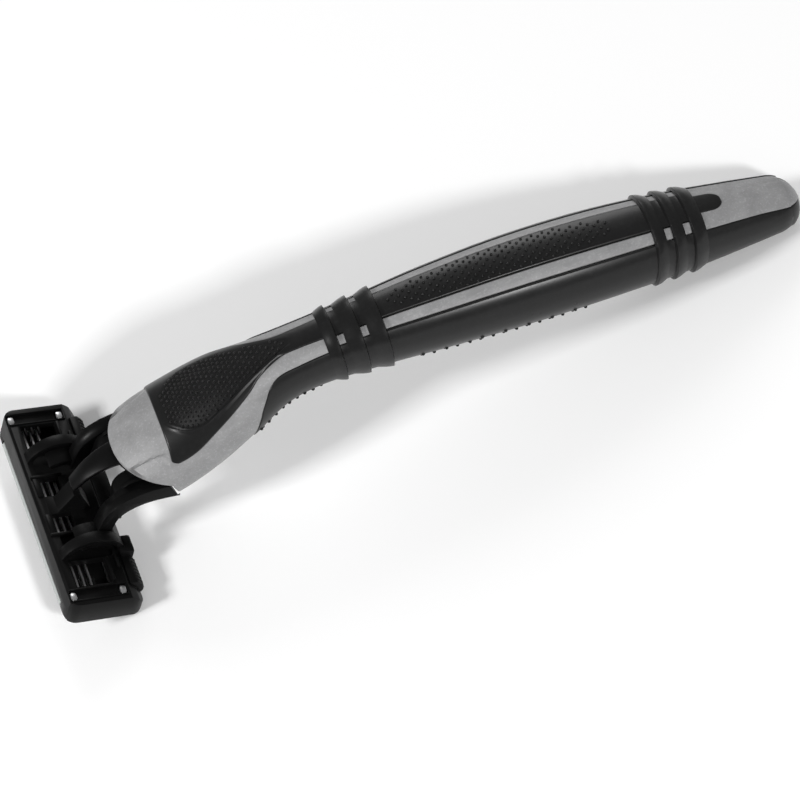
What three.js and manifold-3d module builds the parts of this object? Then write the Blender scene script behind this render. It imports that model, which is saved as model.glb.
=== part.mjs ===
// Cartridge razor: a rubber-clad handle, a fork with two shoes, and a pivoting three-blade cartridge.
// Millimetres, +Z up. The razor lies at rest on z = 0: X runs from the head to the tail, Y along the blades.
import * as THREE from 'three';
import { mergeVertices } from 'three/addons/utils/BufferGeometryUtils.js';
import Module from 'manifold-3d';

const wasm = await Module();
wasm.setup();

const { degToRad, lerp, clamp } = THREE.MathUtils;

// ---------- driving dimensions ----------

const clearance = 0.3;

// The handle: height of its axis, half width and half height at places along X.
const axisHeight = [[-55, 10.9], [-48.8, 12.9], [-40.8, 15.2], [-32.6, 17.8], [-24.9, 19.5], [-17.6, 19.7],
  [-6.9, 18.6], [3.8, 17.2], [17.9, 14.9], [32, 12.1], [46.1, 8.7], [56.8, 6.1], [66.3, 3.7]];
const halfWidth = [[-55, 7.9], [-48.8, 9.3], [-40.8, 9.2], [-32.6, 8], [-24.9, 6], [-17.6, 5.5],
  [-6.9, 6], [3.8, 6.9], [17.9, 7.6], [32, 7.6], [46.1, 6.8], [56.8, 5.8], [66.3, 4.7]];
const halfHeight = [[-55, 6.1], [-48.8, 6.8], [-40.8, 6.8], [-32.6, 6.4], [-24.9, 5.6], [-17.6, 5.4],
  [-6.9, 5.9], [3.8, 6.4], [17.9, 6.9], [32, 6.8], [46.1, 6.3], [56.8, 5.2], [66.3, 4.1]];
const sectionPower = 2.3;
const aroundSteps = 32;
const collarLoops = 5;
const gripLoops = 16;
const tailLoopParts = [0.35, 0.6, 0.8, 0.92, 1];

// The collar mouth: its rim is at this X on the sides and reaches forward over the fork.
const rimX = -47.6;
const rimReachTop = 5;
const rimReachBottom = 1.5;
const collarBlendX = -43;
const tailRoundX = 64;
const tailEndX = 68.9;
const tailRoundPower = 2.4;
const tailTipPart = 0.96;

// Rubber pads: depth of their pockets and how far they stand proud of the grey core.
const padDepth = 1.2;
const padProud = 0.15;
const stripeTopAngle = 68;
const stripeLowAngle = 47.5;

const thumbEdge = [[-46, 32], [-43.9, 26], [-40.3, 24], [-36.4, 28], [-32.4, 34], [-28.2, 44], [-26.3, 54],
  [-22.5, 69], [-19, 70], [-14, 68]];
const thumbFrontX = -43.4;
const thumbFrontSweep = 1.8;
const thumbFrontSpread = 22;
const fingerEdge = [[-34, -52], [-31, -16], [-27.2, 14], [-25.3, 32], [-23.4, 41], [-20, 42], [-14, 44]];
const fingerFrontX = -33.6;
const neckPadEndX = -15.3;
const tailEdge = [[49, 48], [60, 47], [64, 44], [68, 40]];
const tongueTipX = 54.8;
const tongueHalfAngle = 15;
const tongueRoundLength = 2.2;
const tongueTipPart = 0.08;
const tailPadEndX = 66;
const cutterReach = 2;

// Rings of the two sleeves: crest height, and for each ring its foot, crest and end along X.
const ringHeight = 0.7;
const frontRings = [[-15, -13.1, -12.9], [-11.8, -9.1, -8.9], [-7.8, -5.1, -4.9]];
const rearRings = [[41.1, 41.4, 43.3], [44.4, 44.7, 46.7], [47.8, 48.1, 50.4]];

// The head: its own frame stands on the middle of the cartridge's back, z up from the back,
// x towards the guard, and is tilted so that the guard's lower corner lies on the table.
const headX = -65.9;
const headZ = 7.8;
const tableTilt = degToRad(28);
const shellY = [9.5, 11.5];
const armY = [6, 8.8];
const shellRadius = [5, 6];
const shellAngles = [7, 173];
const shoeRadius = [3.7, 4.7];
const shoeAngles = [48, 128];
const shoeInset = 0.6;
const pivot = { x: 1.5, z: -1.8 };
const lipProud = 0.6;
const rimWall = 1.4;
const socketReach = 3;
const plugEndX = -46.9;
const stemInset = 3.6;
const stemEndX = -38;
const armLine = [[15.5, 11.6], [11, 10.9], [7.4, 9.4], [4.7, 6.8], [3.9, 3.8], [3.5, 1]];
const armThickness = [3.2, 2.2];
const leafLine = [[9.5, 13.6], [5.2, 11.4], [2.2, 8.4], [0.3, 5]];
const leafThickness = [1.6, 0.9];
const leafWidth = 2.6;

const cartridgeHalfLength = 21.1;
const cartridgeCorner = 2.2;
const capX = -5.6;
const guardX = 8.3;
const faceZ = -5;
const plateThickness = 1.2;
const guardShoulder = [[guardX, -3.2], [6.8, -1], [5.4, 0]];
const capShoulder = [[-4.8, 0], [-5.2, -0.4], [capX, -3.9], [capX, -4.6], [capX + 0.5, faceZ]];
const guardChannel = { x0: 3.6, x1: 7, halfLength: 17.8, z: -3.9 };
const capNotch = { x: -4.6, halfLength: 17.6, z: -3.4 };
const windowStartX = -3.3;
const windows = [{ near: 12.2, far: 17.4, endX: 3 }, { near: 1.9, far: 5.8, endX: 0.3 }];
const shoePocketY = [6, 12];
const shoePocketZ = -0.8;
const camOutline = [[-2.2, -0.6], [4.2, -0.6], [1.4, 4.1], [0.2, 4.1]];
const camHalfWidth = 1.6;
const cavity = { x0: -3.4, x1: 3.3, halfLength: 20.3 };
const clipY = 19;
const clipWidth = 1.6;
const clipLegX = [4, 4.7];
const clipSheet = 0.3;
const clipSlotDepth = 0.55;
const clipFaceRecess = 0.25;
const clipEndZ = -0.15;

const finCount = 4;
const finPitch = 0.7;
const finStartX = 3.9;
const finHeight = 0.25;
const finRootZ = faceZ + 0.1;
const stripBackZ = -4.2;
const guardStripHalfLength = 17.5;
const soapOutline = [[-5.7, -4.6], [-5.3, -5.05], [-4.9, -5.05], [-4.9, -3.7], [-5.6, -3.7]];
const soapHalfLength = 17.3;

const bladeFirstX = -2.3;
const bladePitch = 1.22;
const bladeLean = degToRad(22);
const bladeHalfLength = 20;
const bladeSheet = 0.12;
const supportSheet = 0.3;
const seatZ = -3.75;
const seatSheet = 0.25;
const bladeGap = 0.15;
const bladeTravelRoom = 0.8;
const seatBackX = -0.1;
const seatLength = 0.95;
const bladeReach = [-0.05, 1.12];
const supportEndGap = 0.2;

// ---------- shapes ----------

// A smooth function through a short table of [x, value] rows, with the ends held level.
function along(table, x) {
  let row = 0;
  while (row < table.length - 2 && x > table[row + 1][0]) row += 1;
  const [x0, v0] = table[row];
  const [x1, v1] = table[row + 1];
  const before = table[Math.max(row - 1, 0)];
  const after = table[Math.min(row + 2, table.length - 1)];
  const slope0 = (v1 - before[1]) / (x1 - before[0]);
  const slope1 = (after[1] - v0) / (after[0] - x0);
  const t = clamp((x - x0) / (x1 - x0), 0, 1);
  const span = x1 - x0;
  const rise = v1 - v0;
  return v0 + t * (slope0 * span + t * (3 * rise - (2 * slope0 + slope1) * span
    + t * ((slope0 + slope1) * span - 2 * rise)));
}

function solidOf(geometry) {
  const bare = geometry.clone();
  bare.deleteAttribute('normal');
  bare.deleteAttribute('uv');
  const welded = mergeVertices(bare, 1e-5);
  return new wasm.Manifold(new wasm.Mesh({
    numProp: 3,
    vertProperties: welded.attributes.position.array,
    triVerts: Uint32Array.from(welded.index.array),
  }));
}

function geometryOf(solid) {
  const mesh = solid.getMesh();
  const geometry = new THREE.BufferGeometry();
  geometry.setAttribute('position', new THREE.BufferAttribute(mesh.vertProperties, 3));
  geometry.setIndex(new THREE.BufferAttribute(mesh.triVerts, 1));
  geometry.computeVertexNormals();
  return geometry;
}

const joined = (solids) => solids.reduce((whole, solid) => whole.add(solid));

// Flat faces between loops of points; each loop has the same number of points.
function surfaceOf(points, triangles) {
  const geometry = new THREE.BufferGeometry().setFromPoints(points);
  geometry.setIndex(triangles);
  return solidOf(geometry);
}

// A closed body through a row of loops, with a fan over each end.
function loft(loops) {
  const count = loops[0].length;
  const points = loops.flat();
  const triangles = [];
  for (let i = 0; i < loops.length - 1; i += 1) {
    for (let j = 0; j < count; j += 1) {
      const a = i * count + j;
      const b = i * count + ((j + 1) % count);
      triangles.push(a, b + count, b, a, a + count, b + count);
    }
  }
  for (const [row, flip] of [[0, false], [loops.length - 1, true]]) {
    const centre = points.length;
    const middle = loops[row].reduce((sum, p) => sum.add(p), new THREE.Vector3()).divideScalar(count);
    points.push(middle);
    for (let j = 0; j < count; j += 1) {
      const a = row * count + j;
      const b = row * count + ((j + 1) % count);
      triangles.push(centre, flip ? b : a, flip ? a : b);
    }
  }
  return surfaceOf(points, triangles);
}

// A curved slab between an outer and an inner sheet: place(u, v, outer) gives the points.
function slab(uSteps, vSteps, place) {
  const points = [];
  for (const outer of [true, false]) {
    for (let i = 0; i <= uSteps; i += 1) {
      for (let j = 0; j <= vSteps; j += 1) {
        points.push(place(i / uSteps, j / vSteps, outer));
      }
    }
  }
  const width = vSteps + 1;
  const under = (uSteps + 1) * width;
  const triangles = [];
  const quad = (a, b, c, d) => triangles.push(a, c, b, a, d, c);
  for (let i = 0; i < uSteps; i += 1) {
    for (let j = 0; j < vSteps; j += 1) {
      const a = i * width + j;
      quad(a, a + 1, a + width + 1, a + width);
      quad(under + a, under + a + width, under + a + width + 1, under + a + 1);
    }
    const low = i * width;
    const high = low + vSteps;
    quad(low, low + width, under + low + width, under + low);
    quad(high + width, high, under + high, under + high + width);
  }
  for (let j = 0; j < vSteps; j += 1) {
    const last = uSteps * width + j;
    quad(j + 1, j, under + j, under + j + 1);
    quad(last, last + 1, under + last + 1, under + last);
  }
  return surfaceOf(points, triangles);
}

const box = (x0, x1, y0, y1, z0, z1) => solidOf(new THREE.BoxGeometry(x1 - x0, y1 - y0, z1 - z0)
  .translate((x0 + x1) / 2, (y0 + y1) / 2, (z0 + z1) / 2));

// An outline in X and Z, drawn out along Y.
function alongY(shape, y0, y1) {
  const settings = { depth: y1 - y0, bevelEnabled: false, curveSegments: 8 };
  const geometry = new THREE.ExtrudeGeometry(shape, settings);
  return geometry.rotateX(Math.PI / 2).translate(0, y1, 0);
}

const outline = (corners) => new THREE.Shape(corners.map(([x, z]) => new THREE.Vector2(x, z)));

// An arched band around the pivot, between two radii and two angles from +x.
function archShape(inner, outer, startAngle, endAngle) {
  const shape = new THREE.Shape();
  shape.absarc(pivot.x, pivot.z, outer, degToRad(startAngle), degToRad(endAngle), false);
  shape.absarc(pivot.x, pivot.z, inner, degToRad(endAngle), degToRad(startAngle), true);
  return shape;
}

// A bent bar in X and Z: its middle line and its thickness at the start and at the end.
function barShape(middleLine, startThickness, endThickness) {
  const curve = new THREE.SplineCurve(middleLine.map(([x, z]) => new THREE.Vector2(x, z)));
  const steps = 10;
  const left = [];
  const right = [];
  for (let i = 0; i <= steps; i += 1) {
    const point = curve.getPoint(i / steps);
    const tangent = curve.getTangent(i / steps);
    const half = lerp(startThickness, endThickness, i / steps) / 2;
    left.push(new THREE.Vector2(point.x - tangent.y * half, point.y + tangent.x * half));
    right.unshift(new THREE.Vector2(point.x + tangent.y * half, point.y - tangent.x * half));
  }
  return new THREE.Shape([...left, ...right]);
}

// ---------- handle ----------

// A point of the handle's skin at X, at an angle (0 near side, 90 top), sunk by a depth.
function skin(x, angle, depth) {
  const slope = (along(axisHeight, x + 0.05) - along(axisHeight, x - 0.05)) / 0.1;
  const tilt = Math.atan(slope);
  const roundOff = clamp((x - tailRoundX) / (tailEndX - tailRoundX), 0, tailTipPart);
  const shrink = Math.sqrt(1 - roundOff ** tailRoundPower);
  const width = (along(halfWidth, x) - depth) * shrink;
  const height = (along(halfHeight, x) - depth) * shrink;
  const cos = Math.cos(degToRad(angle));
  const sin = Math.sin(degToRad(angle));
  const across = Math.sign(cos) * Math.abs(cos) ** (2 / sectionPower) * width;
  const up = Math.sign(sin) * Math.abs(sin) ** (2 / sectionPower) * height;
  return new THREE.Vector3(x - up * Math.sin(tilt), -across, along(axisHeight, x) + up * Math.cos(tilt));
}

const angles = Array.from({ length: aroundSteps }, (_, i) => (360 * i) / aroundSteps);
const loopAt = (xAt, depth) => angles.map((angle) => skin(xAt(angle), angle, depth));

function rimXAt(angle) {
  const sin = Math.sin(degToRad(angle));
  return rimX - (sin > 0 ? rimReachTop : rimReachBottom) * Math.abs(sin);
}

// A tube of the handle's section that starts with the shape of the collar rim.
function fromRim(rimOffset, endX, depth, steps) {
  const loops = [];
  for (let i = 0; i <= steps; i += 1) {
    loops.push(loopAt((angle) => lerp(rimXAt(angle) + rimOffset, endX, i / steps), depth));
  }
  return loft(loops);
}

const tubeBetween = (places, depth) => loft(places.map((x) => loopAt(() => x, depth)));

// A pad over the handle between two edge angles, from a front edge to an end; grow widens its pocket.
function pad({ front, endX, low, high, uSteps, vSteps }, grow) {
  const outerDepth = grow > 0 ? -cutterReach : -padProud;
  const innerDepth = padDepth + grow;
  return slab(uSteps, vSteps, (u, v, outer) => {
    const middle = lerp(low(endX), high(endX), v);
    const x = lerp(front(middle) - grow, endX + grow, u);
    const spread = THREE.MathUtils.radToDeg(grow / along(halfHeight, x));
    const angle = lerp(low(x) - spread, high(x) + spread, v);
    return skin(x, angle, outer ? outerDepth : innerDepth);
  });
}

const level = (value) => () => value;

const thumbPad = {
  front: (angle) => thumbFrontX - thumbFrontSweep * ((angle - 90) / thumbFrontSpread) ** 2,
  endX: neckPadEndX,
  low: (x) => along(thumbEdge, x),
  high: (x) => 180 - along(thumbEdge, x),
  uSteps: 14,
  vSteps: 8,
};
const fingerPad = {
  front: level(fingerFrontX),
  endX: neckPadEndX,
  low: (x) => 180 - along(fingerEdge, x),
  high: (x) => 360 + along(fingerEdge, x),
  uSteps: 9,
  vSteps: 12,
};
const gripStartX = frontRings[2][2] + clearance;
const gripEndX = rearRings[0][0] - clearance;
const gripTop = {
  front: level(gripStartX),
  endX: gripEndX,
  low: level(stripeTopAngle),
  high: level(180 - stripeTopAngle),
  uSteps: 8,
  vSteps: 4,
};
const gripLower = {
  front: level(gripStartX),
  endX: gripEndX,
  low: level(180 - stripeLowAngle),
  high: level(360 + stripeLowAngle),
  uSteps: 8,
  vSteps: 14,
};
const tailStartX = rearRings[2][2] + clearance;
const tailPad = {
  front: level(tailStartX),
  endX: tailPadEndX,
  low: (x) => 180 - along(tailEdge, x),
  high: (x) => 360 + along(tailEdge, x),
  uSteps: 6,
  vSteps: 14,
};
function tongueSpread(x) {
  return tongueHalfAngle * Math.sqrt(clamp((tongueTipX - x) / tongueRoundLength, tongueTipPart, 1));
}
const tailTongue = {
  front: level(tailStartX),
  endX: tongueTipX,
  low: (x) => 90 - tongueSpread(x),
  high: (x) => 90 + tongueSpread(x),
  uSteps: 5,
  vSteps: 3,
};

// Three rubber rings on one tube, with a window over each grey stripe between two rings.
// Grow makes the pocket that the sleeve lies in, where the windows stay as islands.
function sleeve(rings, grow) {
  const stops = rings.flatMap(([footX, crestX, endX]) => (
    [[footX, -padProud], [crestX, -ringHeight], [endX, -padProud]]));
  const startX = rings[0][0] - grow;
  const stopX = rings[2][2] + grow;
  const ringed = () => loft(stops.map(([x, depth]) => loopAt(() => x, depth)));
  const outside = grow > 0 ? tubeBetween([startX, stopX], -cutterReach) : ringed();
  const windows = [0, 1].flatMap((gap) => [false, true].map((mirrored) => (
    windowOver(rings[gap][2] + grow, rings[gap + 1][0] - grow, mirrored, grow))));
  return outside.subtract(joined([tubeBetween([startX - 1, stopX + 1], padDepth + grow), ...windows]));
}

function windowOver(x0, x1, mirrored, grow) {
  const spread = THREE.MathUtils.radToDeg(grow / along(halfHeight, x0));
  return slab(1, 2, (u, v, outer) => {
    const angle = lerp(stripeLowAngle + spread, stripeTopAngle - spread, v);
    const turned = mirrored ? 180 - lerp(stripeTopAngle - spread, stripeLowAngle + spread, v) : angle;
    return skin(lerp(x0, x1, u), turned, outer ? -cutterReach - 1 : padDepth + 1);
  });
}

function handleCore() {
  const loops = [];
  for (let i = 0; i < collarLoops; i += 1) {
    loops.push(loopAt((angle) => lerp(rimXAt(angle), collarBlendX, i / collarLoops), 0));
  }
  for (let i = 0; i <= gripLoops; i += 1) {
    const x = lerp(collarBlendX, tailRoundX, i / gripLoops);
    loops.push(loopAt(() => x, 0));
  }
  for (const part of tailLoopParts) {
    const x = lerp(tailRoundX, tailEndX, part);
    loops.push(loopAt(() => x, 0));
  }
  const pads = [thumbPad, fingerPad, gripTop, gripLower, tailPad, tailTongue];
  const pockets = pads.map((one) => pad(one, clearance));
  const socket = joined([mouthPlug(clearance), stem(clearance)]);
  const sleeves = [frontRings, rearRings].map((rings) => sleeve(rings, clearance));
  return loft(loops).subtract(joined([socket, ...pockets, ...sleeves]));
}

// ---------- fork ----------

const headFrame = new THREE.Matrix4().makeRotationY(tableTilt).setPosition(headX, 0, headZ);
const inHandle = (geometry) => solidOf(geometry.applyMatrix4(headFrame));

// The fork's black plug fills the collar mouth and its stem holds it in the handle.
function mouthPlug(grow) {
  return fromRim(grow > 0 ? -socketReach : -lipProud, plugEndX + grow, rimWall - grow, 5);
}

function stem(grow) {
  return tubeBetween([plugEndX - 1, stemEndX + grow], stemInset - grow);
}

function arm(side) {
  const bar = barShape(armLine, ...armThickness);
  const shoe = archShape(...shoeRadius, ...shoeAngles);
  const near = Math.min(side * armY[0], side * armY[1]);
  const shoeEnd = side * (shellY[1] - clearance);
  const armSolid = inHandle(alongY(bar, near, near + armY[1] - armY[0]));
  const shoeStart = side * (armY[0] + shoeInset);
  const shoeSolid = inHandle(alongY(shoe, Math.min(shoeStart, shoeEnd), Math.max(shoeStart, shoeEnd)));
  return armSolid.add(shoeSolid);
}

function leaf(grow) {
  const bar = barShape(leafLine, leafThickness[0] + 2 * grow, leafThickness[1] + 2 * grow);
  const half = leafWidth / 2 + grow;
  return inHandle(alongY(bar, -half, half));
}

// The arms stop just short of the collar, and meet the lip of the plug that stands out of it.
function yoke() {
  const collarZone = fromRim(-clearance, collarBlendX, -clearance, 4);
  const arms = arm(-1).add(arm(1)).subtract(collarZone);
  return joined([mouthPlug(0), stem(0), arms]).subtract(leaf(clearance));
}

// ---------- cartridge ----------

function roundedPlan(x0, x1, halfLength, radius) {
  const shape = new THREE.Shape();
  shape.moveTo(x0 + radius, -halfLength);
  shape.lineTo(x1 - radius, -halfLength);
  shape.absarc(x1 - radius, -halfLength + radius, radius, -Math.PI / 2, 0, false);
  shape.absarc(x1 - radius, halfLength - radius, radius, 0, Math.PI / 2, false);
  shape.absarc(x0 + radius, halfLength - radius, radius, Math.PI / 2, Math.PI, false);
  shape.absarc(x0 + radius, -halfLength + radius, radius, Math.PI, Math.PI * 1.5, false);
  const settings = { depth: 16, bevelEnabled: false, curveSegments: 6 };
  return new THREE.ExtrudeGeometry(shape, settings).translate(0, 0, -9);
}

function frameBlock() {
  const restLine = (x) => (headZ - x * Math.sin(tableTilt)) / -Math.cos(tableTilt);
  const restX = -(headZ + faceZ * Math.cos(tableTilt)) / -Math.sin(tableTilt);
  const section = outline([[restX, faceZ], [guardX, restLine(guardX)], ...guardShoulder, ...capShoulder]);
  const block = solidOf(alongY(section, -cartridgeHalfLength - 1, cartridgeHalfLength + 1));
  const plan = roundedPlan(capX - 0.01, guardX + 0.01, cartridgeHalfLength, cartridgeCorner);
  return block.intersect(solidOf(plan));
}

function clipChannels(side) {
  const y0 = side * clipY - clipWidth / 2 - clearance;
  const y1 = side * clipY + clipWidth / 2 + clearance;
  const reach = clipLegX[1] + clearance;
  const legs = [-1, 1].map((way) => {
    const inner = way * (clipLegX[0] - clearance);
    const outer = way * reach;
    return box(Math.min(inner, outer), Math.max(inner, outer), y0, y1, -9, 2);
  });
  const backSlot = box(-reach, reach, y0, y1, -clipSlotDepth, 2);
  return joined([...legs, backSlot, box(-reach, reach, y0, y1, -9, faceZ + clipFaceRecess)]);
}

function windowCuts(side) {
  return joined(windows.map(({ near, far, endX }) => {
    const y0 = Math.min(side * near, side * far);
    return box(windowStartX, endX, y0, y0 + far - near, -9, 2);
  }));
}

function shoePocket(side) {
  const [near, far] = shoePocketY;
  const y0 = Math.min(side * near, side * far);
  const y1 = y0 + far - near;
  const round = solidOf(alongY(archShape(0.01, shellRadius[0], 0, 180), y0, y1));
  return round.intersect(box(-9, 9, y0, y1, shoePocketZ, 9));
}

function shell(side) {
  const y0 = Math.min(side * shellY[0], side * shellY[1]);
  return solidOf(alongY(archShape(...shellRadius, ...shellAngles), y0, y0 + shellY[1] - shellY[0]));
}

function cartridgeFrame() {
  const cavityCut = box(cavity.x0, cavity.x1, -cavity.halfLength, cavity.halfLength, -9, -plateThickness);
  const guardLength = guardChannel.halfLength;
  const guardCut = box(guardChannel.x0, guardChannel.x1, -guardLength, guardLength, -9, guardChannel.z);
  const capCut = box(-9, capNotch.x, -capNotch.halfLength, capNotch.halfLength, -9, capNotch.z);
  const sides = [-1, 1];
  const sideCuts = sides.flatMap((side) => [clipChannels(side), windowCuts(side), shoePocket(side)]);
  const cuts = [cavityCut, guardCut, capCut, ...sideCuts];
  const cam = solidOf(alongY(outline(camOutline), -camHalfWidth, camHalfWidth));
  return frameBlock().subtract(joined(cuts)).add(joined([cam, ...sides.map(shell)]));
}

function guardStrip() {
  const corners = [[finStartX, stripBackZ], [finStartX, finRootZ]];
  for (let i = 0; i < finCount; i += 1) {
    corners.push([finStartX + finPitch * (i + 0.5), faceZ - finHeight]);
    corners.push([finStartX + finPitch * (i + 1), finRootZ]);
  }
  corners.push([finStartX + finPitch * finCount, stripBackZ]);
  return solidOf(alongY(outline(corners.reverse()), -guardStripHalfLength, guardStripHalfLength));
}

function lubricatingStrip() {
  return solidOf(alongY(outline(soapOutline), -soapHalfLength, soapHalfLength));
}

function clip(side) {
  const [inner, outer] = clipLegX;
  const low = faceZ - clipSheet;
  const shape = outline([[-outer, low], [outer, low], [outer, clipEndZ], [inner, clipEndZ], [inner, faceZ],
    [-inner, faceZ], [-inner, clipEndZ], [-outer, clipEndZ]]);
  return solidOf(alongY(shape, side * clipY - clipWidth / 2, side * clipY + clipWidth / 2));
}

// A band along a slanted line in X and Z, offset to one side of it.
function leaning(x, z, start, end, offset, sheet) {
  const across = new THREE.Vector2(Math.cos(bladeLean), -Math.sin(bladeLean));
  const out = new THREE.Vector2(-Math.sin(bladeLean), -Math.cos(bladeLean));
  const at = (reach, depth) => [x + across.x * reach + out.x * depth, z + across.y * reach + out.y * depth];
  return outline([at(start, offset), at(start, offset + sheet), at(end, offset + sheet), at(end, offset)]);
}

function bladeSupport(x) {
  const half = supportSheet / 2;
  const topZ = -plateThickness - bladeTravelRoom;
  const footZ = seatZ - 0.1;
  const leg = outline([[x - half, topZ], [x - half, footZ], [x + half, footZ], [x + half, topZ]]);
  const seat = leaning(x + seatBackX, seatZ, 0, seatLength, 0, seatSheet);
  const halfLength = bladeHalfLength - supportEndGap;
  return joined([leg, seat].map((shape) => solidOf(alongY(shape, -halfLength, halfLength))));
}

function blade(x) {
  const sheet = leaning(x + seatBackX, seatZ, ...bladeReach, seatSheet + bladeGap, bladeSheet);
  return solidOf(alongY(sheet, -bladeHalfLength, bladeHalfLength));
}

// ---------- assembly ----------

const razor = new THREE.Group();
const head = new THREE.Group();
head.position.set(headX, 0, headZ);
head.rotation.y = tableTilt;
razor.add(head);

const greyPlastic = new THREE.MeshStandardMaterial({ color: 0x8c8c8c, roughness: 0.45, metalness: 0 });
const blackRubber = new THREE.MeshStandardMaterial({ color: 0x1d1d1d, roughness: 0.7, metalness: 0 });
const blackPlastic = new THREE.MeshStandardMaterial({ color: 0x151515, roughness: 0.35, metalness: 0 });
const blackFins = new THREE.MeshStandardMaterial({ color: 0x202020, roughness: 0.75, metalness: 0 });
const paleSoap = new THREE.MeshStandardMaterial({ color: 0xb9bdb8, roughness: 0.5, metalness: 0 });
const bladeSteel = new THREE.MeshStandardMaterial({ color: 0xc8c8c8, roughness: 0.2, metalness: 1 });
const clipMetal = new THREE.MeshStandardMaterial({ color: 0xd8d8d8, roughness: 0.25, metalness: 1 });

function add(group, name, solid, material) {
  const mesh = new THREE.Mesh(geometryOf(solid), material);
  mesh.name = name;
  group.add(mesh);
}

const onTable = (solid) => solid.subtract(box(-200, 200, -100, 100, -50, 0));

add(razor, 'handle_core', handleCore(), greyPlastic);
add(razor, 'thumb_pad', pad(thumbPad, 0), blackRubber);
add(razor, 'finger_pad', pad(fingerPad, 0), blackRubber);
add(razor, 'front_ring_sleeve', sleeve(frontRings, 0), blackRubber);
add(razor, 'grip_pad_top', pad(gripTop, 0), blackRubber);
add(razor, 'grip_pad_lower', pad(gripLower, 0), blackRubber);
add(razor, 'rear_ring_sleeve', sleeve(rearRings, 0), blackRubber);
add(razor, 'tail_tongue', pad(tailTongue, 0), blackRubber);
add(razor, 'tail_pad', onTable(pad(tailPad, 0)), blackRubber);
add(razor, 'yoke', yoke(), blackPlastic);
add(razor, 'return_leaf', leaf(0), blackPlastic);

add(head, 'cartridge_frame', cartridgeFrame(), blackPlastic);
add(head, 'guard_strip', guardStrip(), blackFins);
add(head, 'lubricating_strip', lubricatingStrip(), paleSoap);
add(head, 'clip_near', clip(-1), clipMetal);
add(head, 'clip_far', clip(1), clipMetal);
for (let i = 0; i < 3; i += 1) {
  const x = bladeFirstX + i * bladePitch;
  add(head, `blade_support_${i + 1}`, bladeSupport(x), bladeSteel);
  add(head, `blade_${i + 1}`, blade(x), bladeSteel);
}

const bounds = new THREE.Box3().setFromObject(razor, true);
razor.position.x = -(bounds.min.x + bounds.max.x) / 2;

export default razor;
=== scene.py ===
import bpy
import math
from mathutils import Matrix, Vector


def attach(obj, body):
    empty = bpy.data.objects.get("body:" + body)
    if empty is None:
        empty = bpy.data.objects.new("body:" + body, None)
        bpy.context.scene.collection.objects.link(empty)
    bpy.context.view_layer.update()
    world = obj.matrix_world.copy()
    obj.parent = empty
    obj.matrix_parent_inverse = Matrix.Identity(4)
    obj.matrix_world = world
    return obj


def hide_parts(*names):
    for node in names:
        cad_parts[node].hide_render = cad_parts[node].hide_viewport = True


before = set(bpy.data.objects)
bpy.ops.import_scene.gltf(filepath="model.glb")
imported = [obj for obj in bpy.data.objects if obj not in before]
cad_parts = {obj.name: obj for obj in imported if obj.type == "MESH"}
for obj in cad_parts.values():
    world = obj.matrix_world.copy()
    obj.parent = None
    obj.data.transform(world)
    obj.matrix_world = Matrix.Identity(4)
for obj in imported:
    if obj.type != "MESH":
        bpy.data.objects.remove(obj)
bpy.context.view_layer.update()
mm = 0.001
shiftX = 2.096184                       # from the handle tables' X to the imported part's X
finishes = {}


def clearSelection():
    if bpy.context.object and bpy.context.object.mode != "OBJECT":
        bpy.ops.object.mode_set(mode="OBJECT")
    bpy.ops.object.select_all(action="DESELECT")


def pick(piece):
    clearSelection()
    piece.select_set(True)
    bpy.context.view_layer.objects.active = piece


def clamp(value, low, high):
    return max(low, min(high, value))


def mixed(start, end, part):
    return start + (end - start) * part


def smoothStep(start, end, value):
    part = clamp((value - start) / (end - start), 0, 1)
    return part * part * (3 - 2 * part)


def band(rise, fall, value):            # 1 between two smooth ends, 0 outside them
    return smoothStep(*rise, value) * (1 - smoothStep(*fall, value))


def along(table, x):                    # a smooth curve through rows of (x, value), level at its ends
    row = 0
    while row < len(table) - 2 and x > table[row + 1][0]:
        row += 1
    x0, v0 = table[row]
    x1, v1 = table[row + 1]
    before = table[max(row - 1, 0)]
    after = table[min(row + 2, len(table) - 1)]
    slope0 = (v1 - before[1]) / (x1 - before[0])
    slope1 = (after[1] - v0) / (after[0] - x0)
    span = x1 - x0
    rise = v1 - v0
    t = clamp((x - x0) / span, 0, 1)
    bend = 3 * rise - (2 * slope0 + slope1) * span
    return v0 + t * (slope0 * span + t * (bend + t * ((slope0 + slope1) * span - 2 * rise)))


def modify(piece, kind, settings):      # adds one modifier and applies it
    pick(piece)
    modifier = piece.modifiers.new(kind.title(), kind)
    for key, value in settings.items():
        setattr(modifier, key, value)
    bpy.ops.object.modifier_apply(modifier=modifier.name)


def shaded(piece, angle):
    pick(piece)
    bpy.ops.object.shade_smooth_by_angle(angle=math.radians(angle))


def finished(piece, name, finish, body, nodes=()):
    piece.name = name
    piece.data.name = name
    piece.data.materials.clear()
    piece.data.materials.append(finishes[finish])
    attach(piece, body)
    if nodes:
        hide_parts(*nodes)
    return piece


def placedGrid(uCount, vCount, place):  # a grid whose points are set by place(u, v), in millimetres
    clearSelection()
    bpy.ops.mesh.primitive_grid_add(x_subdivisions=uCount, y_subdivisions=vCount, size=1)
    piece = bpy.context.object
    for vertex in piece.data.vertices:
        u = vertex.co.x + 0.5
        v = vertex.co.y + 0.5
        vertex.co = Vector(place(u, v)) * mm
    piece.data.update()
    return piece


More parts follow.
